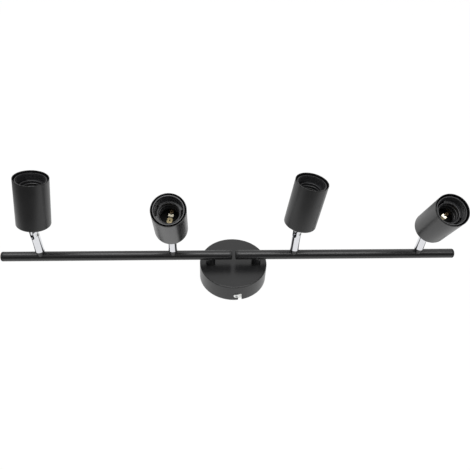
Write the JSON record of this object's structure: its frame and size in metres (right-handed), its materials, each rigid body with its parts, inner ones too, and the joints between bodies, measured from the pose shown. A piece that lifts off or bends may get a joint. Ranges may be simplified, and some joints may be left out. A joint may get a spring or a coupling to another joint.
{
  "type": "ceiling spot bar",
  "caption": "Black ceiling spot bar: a round canopy carries two swivelling tube arms with cylinder lamp heads on chrome tilt joints.",
  "frame": {"origin": "centre of the canopy's rim, in the ceiling plane", "axes": "+Z away from the ceiling towards the heads, +X along the arms, -Y towards the camera of the picture"},
  "size_m": [0.668, 0.1116, 0.1776],
  "materials": {
    "black_body": "satin black powder coat",
    "chrome_stem": "polished",
    "zinc_bracket": "zinc plated",
    "zinc_screw": "bright zinc",
    "black_holder": "moulded thermoset, matt",
    "black_cap": "moulded plug, satin",
    "brass_contact": "bright strip",
    "terminal_white": "nylon",
    "lead_sheath": "smooth sheath"
  },
  "bodies": {
    "root": {"canopy": "black_body", "mounting_bracket": "zinc_bracket", "bracket_screws": "zinc_screw", "earth_screw": "brass_contact", "terminal_block": "terminal_white", "terminal_clamps": "brass_contact", "canopy_leads": "lead_sheath"},
    "arm_left": {"arm_tube_left": "black_body", "end_caps_left": "black_cap", "arm_post_left": "black_body", "post_nut_left": "zinc_bracket", "swivel_collars_left": "black_body", "arm_leads_left": "lead_sheath"},
    "arm_right": {"arm_tube_right": "black_body", "end_caps_right": "black_cap", "arm_post_right": "black_body", "post_nut_right": "zinc_bracket", "swivel_collars_right": "black_body", "arm_leads_right": "lead_sheath"},
    "stem_body_1": {"stem_1": "chrome_stem", "stem_clip_1": "zinc_bracket", "pivot_set_1": "zinc_screw"},
    "stem_body_2": {"stem_2": "chrome_stem", "stem_clip_2": "zinc_bracket", "pivot_set_2": "zinc_screw"},
    "stem_body_3": {"stem_3": "chrome_stem", "stem_clip_3": "zinc_bracket", "pivot_set_3": "zinc_screw"},
    "stem_body_4": {"stem_4": "chrome_stem", "stem_clip_4": "zinc_bracket", "pivot_set_4": "zinc_screw"},
    "head_1": {"knuckle_1": "chrome_stem", "shade_1": "black_body", "lampholder_cap_1": "black_holder", "contact_block_1": "black_holder", "contacts_1": "brass_contact", "lampholder_skirt_1": "black_holder", "head_leads_1": "lead_sheath"},
    "head_2": {"knuckle_2": "chrome_stem", "shade_2": "black_body", "lampholder_cap_2": "black_holder", "contact_block_2": "black_holder", "contacts_2": "brass_contact", "lampholder_skirt_2": "black_holder", "head_leads_2": "lead_sheath"},
    "head_3": {"knuckle_3": "chrome_stem", "shade_3": "black_body", "lampholder_cap_3": "black_holder", "contact_block_3": "black_holder", "contacts_3": "brass_contact", "lampholder_skirt_3": "black_holder", "head_leads_3": "lead_sheath"},
    "head_4": {"knuckle_4": "chrome_stem", "shade_4": "black_body", "lampholder_cap_4": "black_holder", "contact_block_4": "black_holder", "contacts_4": "brass_contact", "lampholder_skirt_4": "black_holder", "head_leads_4": "lead_sheath"}
  },
  "joints": [
    {"name": "swing_left", "type": "hinge", "parent": "root", "child": "arm_left", "pos_m": [-0.034, 0, 0.0275], "axis": [0, 0, 1], "range_deg": [-90, 90]},
    {"name": "swing_right", "type": "hinge", "parent": "root", "child": "arm_right", "pos_m": [0.034, 0, 0.0275], "axis": [0, 0, 1], "range_deg": [-90, 90]},
    {"name": "swivel_1", "type": "hinge", "parent": "arm_left", "child": "stem_body_1", "pos_m": [-0.2778, 0, 0.0563], "axis": [0, 0, 1], "range_deg": [-170, 170]},
    {"name": "swivel_2", "type": "hinge", "parent": "arm_left", "child": "stem_body_2", "pos_m": [-0.089, 0, 0.0563], "axis": [0, 0, 1], "range_deg": [-170, 170]},
    {"name": "swivel_3", "type": "hinge", "parent": "arm_right", "child": "stem_body_3", "pos_m": [0.089, 0, 0.0563], "axis": [0, 0, 1], "range_deg": [-170, 170]},
    {"name": "swivel_4", "type": "hinge", "parent": "arm_right", "child": "stem_body_4", "pos_m": [0.2778, 0, 0.0563], "axis": [0, 0, 1], "range_deg": [-170, 170]},
    {"name": "tilt_1", "type": "hinge", "parent": "stem_body_1", "child": "head_1", "pos_m": [-0.2778, 0, 0.0901], "axis": [-0.8526, 0.5225, 0], "range_deg": [-103, 77]},
    {"name": "tilt_2", "type": "hinge", "parent": "stem_body_2", "child": "head_2", "pos_m": [-0.089, 0, 0.0901], "axis": [1, 0.0017, 0], "range_deg": [-117.2, 62.8]},
    {"name": "tilt_3", "type": "hinge", "parent": "stem_body_3", "child": "head_3", "pos_m": [0.089, 0, 0.0901], "axis": [-0.6143, 0.7891, 0], "range_deg": [-99.4, 80.6]},
    {"name": "tilt_4", "type": "hinge", "parent": "stem_body_4", "child": "head_4", "pos_m": [0.2778, 0, 0.0901], "axis": [1, -0.0052, 0], "range_deg": [-117.7, 62.3]}
  ]
}
